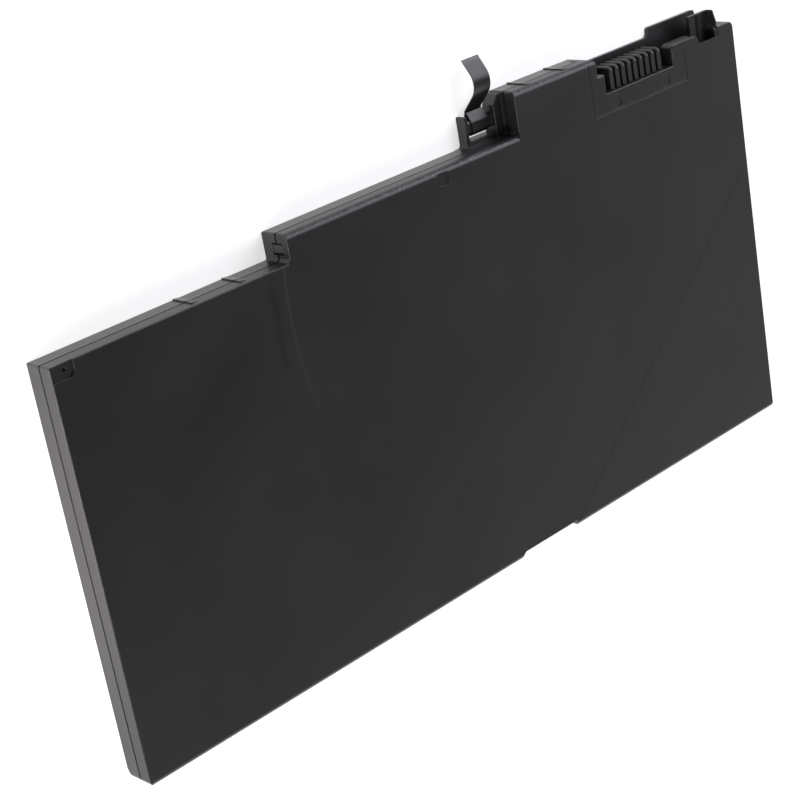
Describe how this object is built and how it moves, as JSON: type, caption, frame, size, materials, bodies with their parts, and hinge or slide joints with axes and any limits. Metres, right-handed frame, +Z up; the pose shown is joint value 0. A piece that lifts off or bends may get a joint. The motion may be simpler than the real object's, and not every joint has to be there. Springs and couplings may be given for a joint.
{
  "type": "laptop battery",
  "caption": "Slim flat internal laptop battery with a stepped top edge, a comb connector in a pocket, a cable channel with a hook, and a pull ribbon on a loop.",
  "frame": {"origin": "centre of the rear face over the cells, which is the face it lies on", "axes": "+X along the length, towards the connector's end; +Y towards the stepped edge with the connector; +Z up, out of the plain front face"},
  "size_m": [0.245, 0.1358, 0.0091],
  "materials": {
    "shell_plastic": "moulded, fine satin",
    "ribbon_film": "smooth film",
    "connector_plastic": "moulded",
    "contact_metal": "plated spring strip",
    "pouch_foil": "laminated foil",
    "tab_aluminium": "rolled strip",
    "tab_nickel": "rolled strip",
    "adhesive_tape": "film",
    "foam": "closed cell",
    "insulating_film": "film",
    "board_laminate": "solder mask",
    "chip_resin": "moulded resin",
    "ceramic": "fired"
  },
  "bodies": {
    "root": {"cell_1_negative_tab": "tab_nickel", "cell_1_negative_weld_pad": "tab_nickel", "cell_1_positive_tab": "tab_aluminium", "cell_1_positive_weld_pad": "tab_nickel", "cell_2_negative_tab": "tab_nickel", "cell_2_negative_weld_pad": "tab_nickel", "cell_2_positive_tab": "tab_aluminium", "cell_2_positive_weld_pad": "tab_nickel", "cell_3_negative_tab": "tab_nickel", "cell_3_negative_weld_pad": "tab_nickel", "cell_3_positive_tab": "tab_aluminium", "cell_3_positive_weld_pad": "tab_nickel", "cell_tape_1": "adhesive_tape", "cell_tape_2": "adhesive_tape", "cell_tape_3": "adhesive_tape", "charge_transistor": "chip_resin", "chip_capacitors": "ceramic", "chip_resistors": "ceramic", "circuit_board": "board_laminate", "connector_housing": "connector_plastic", "contact_1": "contact_metal", "contact_2": "contact_metal", "contact_3": "contact_metal", "contact_4": "contact_metal", "contact_5": "contact_metal", "contact_6": "contact_metal", "contact_7": "contact_metal", "contact_8": "contact_metal", "discharge_transistor": "chip_resin", "foam_strip_lower": "foam", "foam_strip_upper": "foam", "front_shell": "shell_plastic", "fuse": "ceramic", "gauge_chip": "chip_resin", "guard_chip": "chip_resin", "insulating_strip": "insulating_film", "pouch_cell_1": "pouch_foil", "pouch_cell_2": "pouch_foil", "pouch_cell_3": "pouch_foil", "pull_ribbon": "ribbon_film", "rear_shell": "shell_plastic", "sense_resistor": "ceramic", "thermistor": "chip_resin"}
  },
  "joints": []
}
